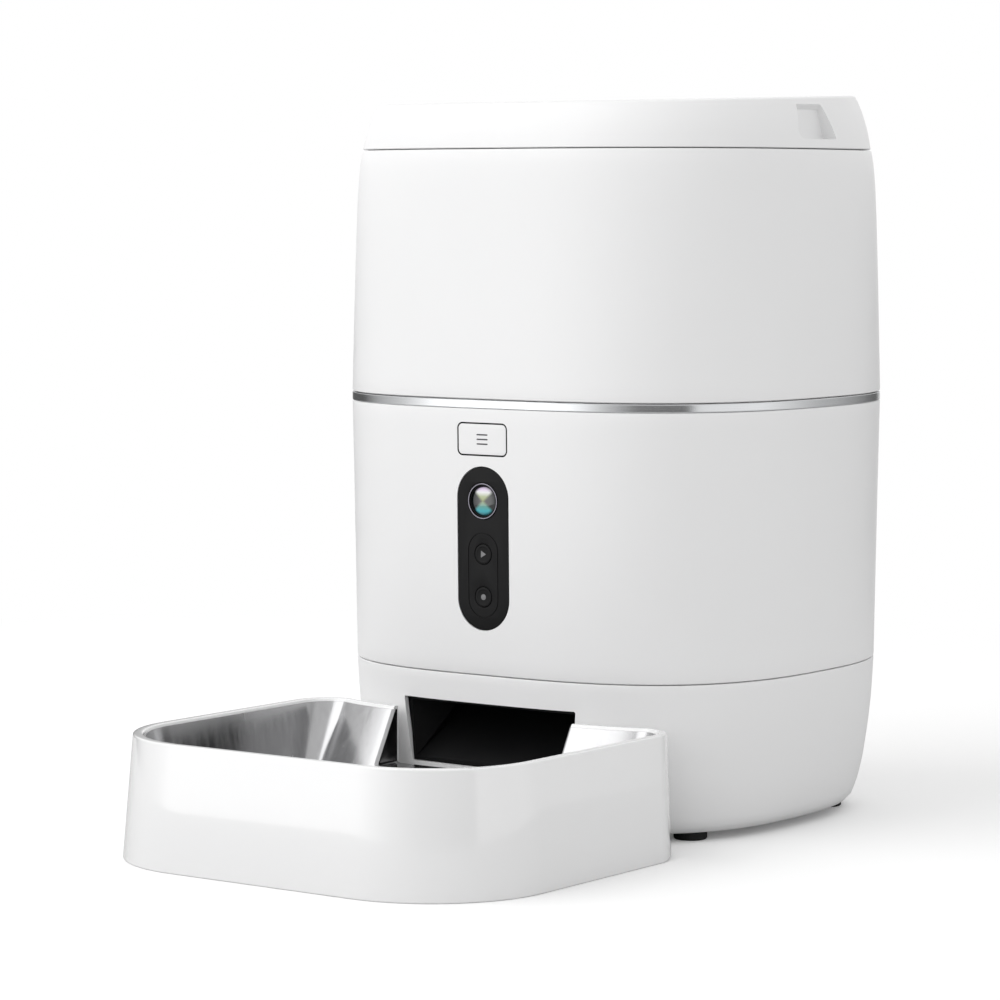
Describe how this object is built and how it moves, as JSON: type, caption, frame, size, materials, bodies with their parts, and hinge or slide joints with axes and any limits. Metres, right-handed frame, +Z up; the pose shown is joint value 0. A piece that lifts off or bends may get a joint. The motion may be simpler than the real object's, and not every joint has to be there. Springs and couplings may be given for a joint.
{
  "type": "pet feeder",
  "caption": "Automatic dry-food dispenser for pets: tower with camera panel and push keys, lift-off hopper and lid, and a docked food tray with a steel liner.",
  "frame": {"origin": "centre of the whole footprint, tower and tray, on the floor plane", "axes": "+Z up, -Y towards the food tray and the camera, +X to the right of someone who faces the camera"},
  "size_m": [0.2442, 0.3902, 0.3531],
  "materials": {
    "white": "glossy moulded",
    "black": "satin moulded",
    "dark": "matt moulded",
    "chrome": "fine brushed",
    "steel": "plain zinc",
    "liner": "polished pressed sheet",
    "brass": "machined",
    "rubber": "matt",
    "seal": "silicone",
    "gear": "moulded acetal",
    "board": "solder mask",
    "chip": "moulded",
    "window": "coated"
  },
  "bodies": {
    "tower": {"base_housing": "white", "base_pan": "white", "battery_box": "white", "battery_contact_negative": "brass", "battery_contact_positive": "brass", "camera_carrier": "dark", "camera_lens": "window", "camera_panel": "black", "chute_cover": "dark", "deck_screw_1": "steel", "deck_screw_2": "steel", "dispenser_deck": "white", "food_chute": "dark", "foot_1": "rubber", "foot_2": "rubber", "foot_3": "rubber", "foot_4": "rubber", "front_board": "board", "gearbox": "steel", "lens_barrel": "dark", "lens_ring": "chrome", "lens_window": "window", "main_board": "board", "main_housing": "white", "metering_ring": "white", "microphone": "steel", "motor": "steel", "motor_bracket": "steel", "pan_screw_1": "steel", "pan_screw_2": "steel", "pan_screw_3": "steel", "pan_screw_4": "steel", "play_switch": "dark", "power_socket": "dark", "radio_module": "chip", "record_switch": "dark", "set_switch": "dark", "shaft_bush": "brass", "speaker": "chip", "trim_band": "chrome"},
    "hopper": {"hopper_shell": "white", "hopper_funnel": "white", "throat_wiper": "rubber"},
    "lid": {"lid_shell": "white", "lid_plug": "white", "lid_seal": "seal", "desiccant_holder": "white"},
    "desiccant_cap": {"desiccant_cap": "white"},
    "metering_wheel": {"metering_wheel": "rubber", "wheel_shaft": "steel", "drive_gear": "gear"},
    "pinion": {"motor_pinion": "brass", "motor_shaft": "steel"},
    "set_key": {"set_key": "white"},
    "play_key": {"play_key": "black"},
    "record_key": {"record_key": "black"},
    "tray": {"food_tray": "white"},
    "liner": {"bowl_liner": "liner"},
    "battery_door": {"battery_door": "white"}
  },
  "joints": [
    {"name": "hopper_lift", "type": "slide", "parent": "tower", "child": "hopper", "axis": [0, 0, 1], "range_m": [0, 0.12]},
    {"name": "lid_lift", "type": "slide", "parent": "hopper", "child": "lid", "axis": [0, 0, 1], "range_m": [0, 0.08]},
    {"name": "desiccant_twist", "type": "hinge", "parent": "lid", "child": "desiccant_cap", "pos_m": [0, 0.0831, 0.2994], "axis": [0, 0, 1], "range_deg": [0, 40]},
    {"name": "wheel_spin", "type": "hinge", "parent": "tower", "child": "metering_wheel", "pos_m": [0, 0.0831, 0.13], "axis": [0, 0, 1], "continuous": true},
    {"name": "pinion_spin", "type": "hinge", "parent": "tower", "child": "pinion", "pos_m": [0, 0.1071, 0.107], "axis": [0, 0, 1], "continuous": true},
    {"name": "set_press", "type": "slide", "parent": "tower", "child": "set_key", "axis": [0, 1, 0], "range_m": [0, 0.0008], "stiffness_N_per_m": 1500},
    {"name": "play_press", "type": "slide", "parent": "tower", "child": "play_key", "axis": [0, 1, 0], "range_m": [0, 0.0008], "stiffness_N_per_m": 1500},
    {"name": "record_press", "type": "slide", "parent": "tower", "child": "record_key", "axis": [0, 1, 0], "range_m": [0, 0.0008], "stiffness_N_per_m": 1500},
    {"name": "tray_slide", "type": "slide", "parent": "tower", "child": "tray", "axis": [0, -1, 0], "range_m": [0, 0.18]},
    {"name": "battery_door_drop", "type": "slide", "parent": "tower", "child": "battery_door", "axis": [0, 0, -1], "range_m": [0, 0.03]},
    {"name": "liner_lift", "type": "slide", "parent": "tray", "child": "liner", "axis": [0, 0, 1], "range_m": [0, 0.08]}
  ],
  "couplings": [
    {"joint": "pinion_spin", "follows": "wheel_spin", "ratio": -3}
  ]
}
